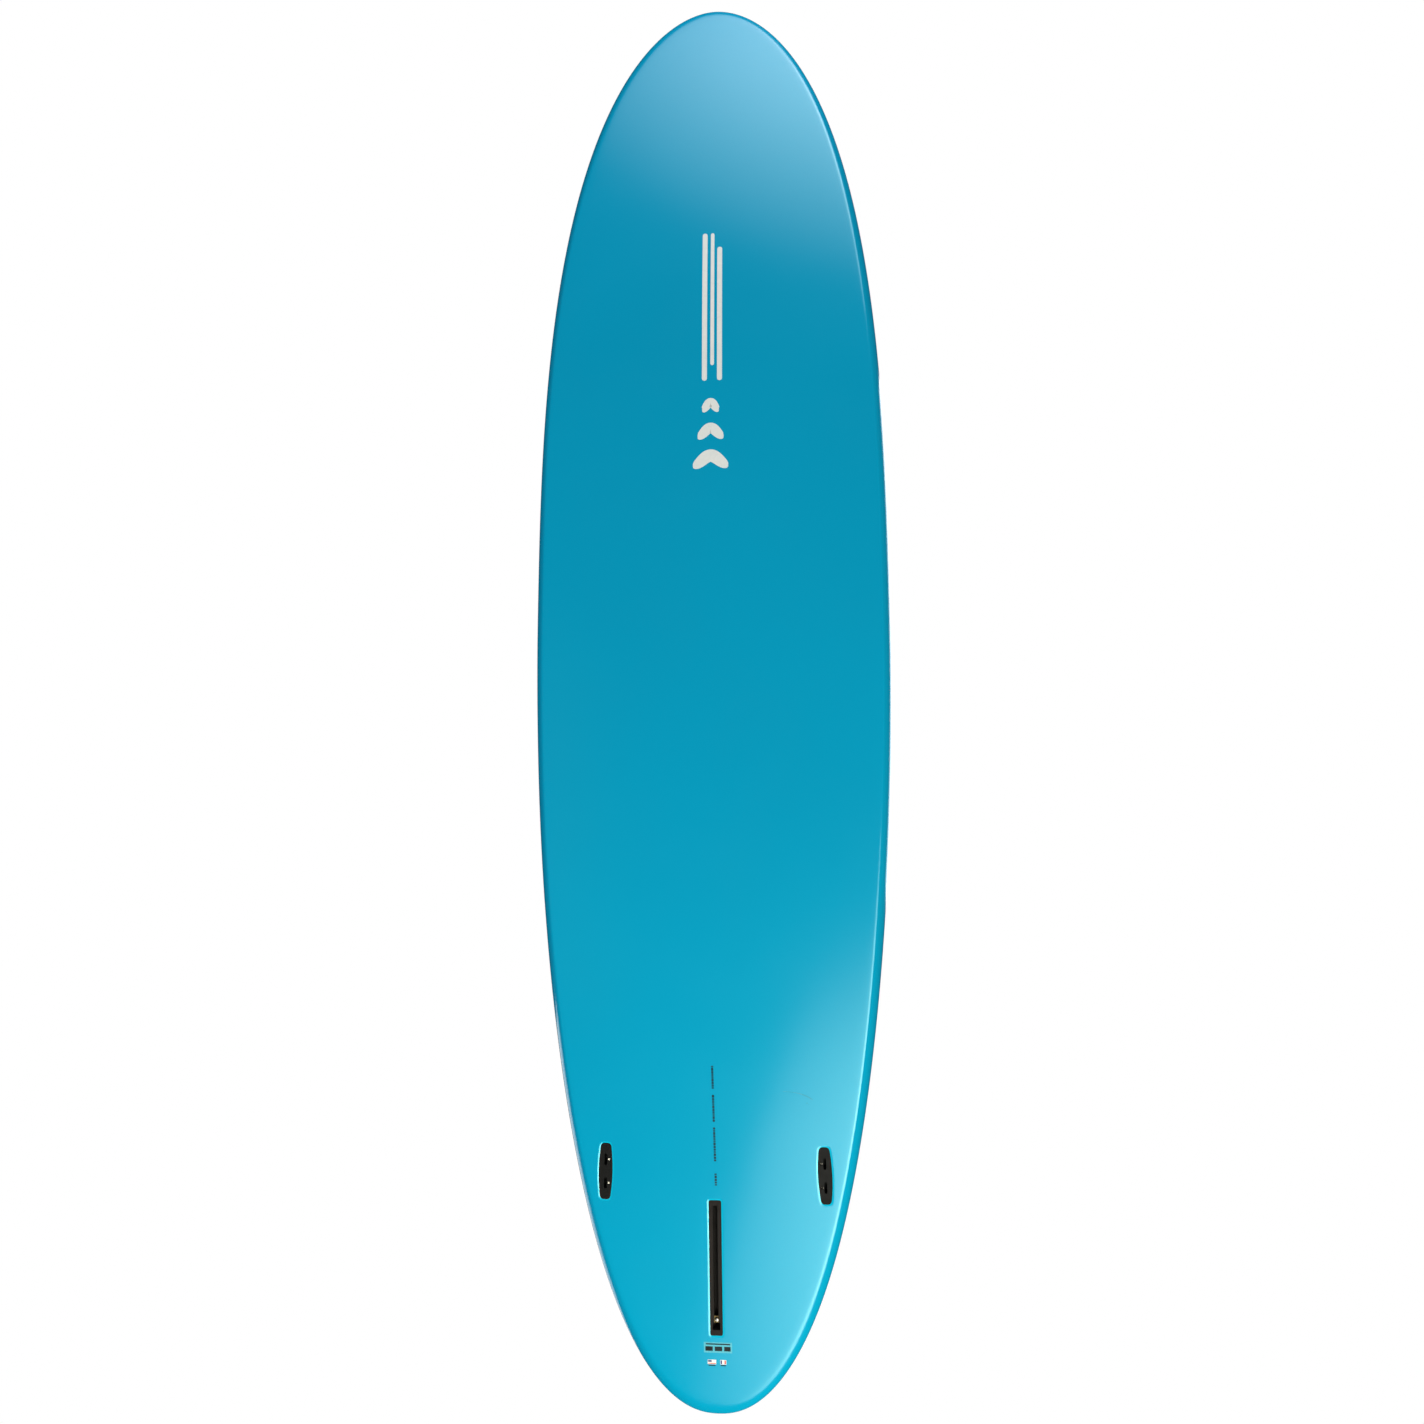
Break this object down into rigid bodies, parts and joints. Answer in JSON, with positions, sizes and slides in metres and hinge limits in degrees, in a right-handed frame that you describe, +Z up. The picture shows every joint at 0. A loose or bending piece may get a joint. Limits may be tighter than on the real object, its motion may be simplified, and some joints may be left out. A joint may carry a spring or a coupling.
{
  "type": "stand up paddleboard",
  "caption": "Rigid all-round stand up paddleboard, foam core in two skins, with a slotted centre fin box, two-tab side fin plugs, carry handle, leash cup, vent and grip pads.",
  "frame": {"origin": "under the middle of the board, on the surface that the flat middle of its bottom rests on", "axes": "+X along the board to the nose, +Y to port, +Z up through the deck"},
  "size_m": [3.2, 0.762, 0.2089],
  "materials": {
    "cyan_paint": "gloss",
    "white_foam": "matte",
    "dense_foam": "matte",
    "stringer_wood": "matte",
    "black_plastic": "satin",
    "brass": "satin",
    "stainless": "polished",
    "black_rubber": "matte",
    "grey_pad": "matte"
  },
  "bodies": {
    "board": {"bottom_skin": "cyan_paint", "deck_skin": "cyan_paint", "port_foam_core": "white_foam", "starboard_foam_core": "white_foam", "vent_membrane": "white_foam", "fin_box_foam_block": "dense_foam", "port_plug_foam_block": "dense_foam", "starboard_plug_foam_block": "dense_foam", "handle_foam_block": "dense_foam", "leash_foam_block": "dense_foam", "vent_foam_block": "dense_foam", "stringer": "stringer_wood", "centre_fin_box": "black_plastic", "port_side_fin_plug": "black_plastic", "starboard_side_fin_plug": "black_plastic", "handle_cup": "black_plastic", "handle_grip_bar": "black_plastic", "leash_cup": "black_plastic", "vent_housing": "black_plastic", "leash_bar": "stainless", "handle_grip_sleeve": "black_rubber", "deck_pad_front_port": "grey_pad", "deck_pad_front_starboard": "grey_pad", "deck_pad_rear_port": "grey_pad", "deck_pad_rear_starboard": "grey_pad", "tail_kick_pad": "grey_pad"},
    "nut_plate": {"fin_plate": "brass"},
    "nut_screw": {"fin_screw": "stainless"},
    "port_front_grub": {"port_front_grub_screw": "stainless"},
    "port_rear_grub": {"port_rear_grub_screw": "stainless"},
    "starboard_front_grub": {"starboard_front_grub_screw": "stainless"},
    "starboard_rear_grub": {"starboard_rear_grub_screw": "stainless"},
    "vent_plug": {"vent_screw": "stainless", "vent_o_ring": "black_rubber"}
  },
  "joints": [
    {"name": "fin_plate_slide", "type": "slide", "parent": "board", "child": "nut_plate", "axis": [0.9931, 0, -0.1175], "range_m": [-0.009, 0.224]},
    {"name": "fin_screw_turn", "type": "hinge", "parent": "nut_plate", "child": "nut_screw", "pos_m": [-1.40925, 0, 0.0965], "axis": [0.1175, 0, 0.9931], "continuous": true},
    {"name": "port_front_grub_screw_turn", "type": "hinge", "parent": "board", "child": "port_front_grub", "pos_m": [-1.09006, 0.21569, 0.05252], "axis": [0.1222, 0.3418, 0.9318], "continuous": true},
    {"name": "port_rear_grub_screw_turn", "type": "hinge", "parent": "board", "child": "port_rear_grub", "pos_m": [-1.1377, 0.21737, 0.05816], "axis": [0.1222, 0.3418, 0.9318], "continuous": true},
    {"name": "starboard_front_grub_screw_turn", "type": "hinge", "parent": "board", "child": "starboard_front_grub", "pos_m": [-1.09006, -0.21569, 0.05252], "axis": [0.1222, -0.3418, 0.9318], "continuous": true},
    {"name": "starboard_rear_grub_screw_turn", "type": "hinge", "parent": "board", "child": "starboard_rear_grub", "pos_m": [-1.1377, -0.21737, 0.05816], "axis": [0.1222, -0.3418, 0.9318], "continuous": true},
    {"name": "vent_screw_turn", "type": "hinge", "parent": "board", "child": "vent_plug", "pos_m": [0.78, 0, 0.13591], "axis": [-0.0543, 0, 0.9985], "continuous": true}
  ]
}
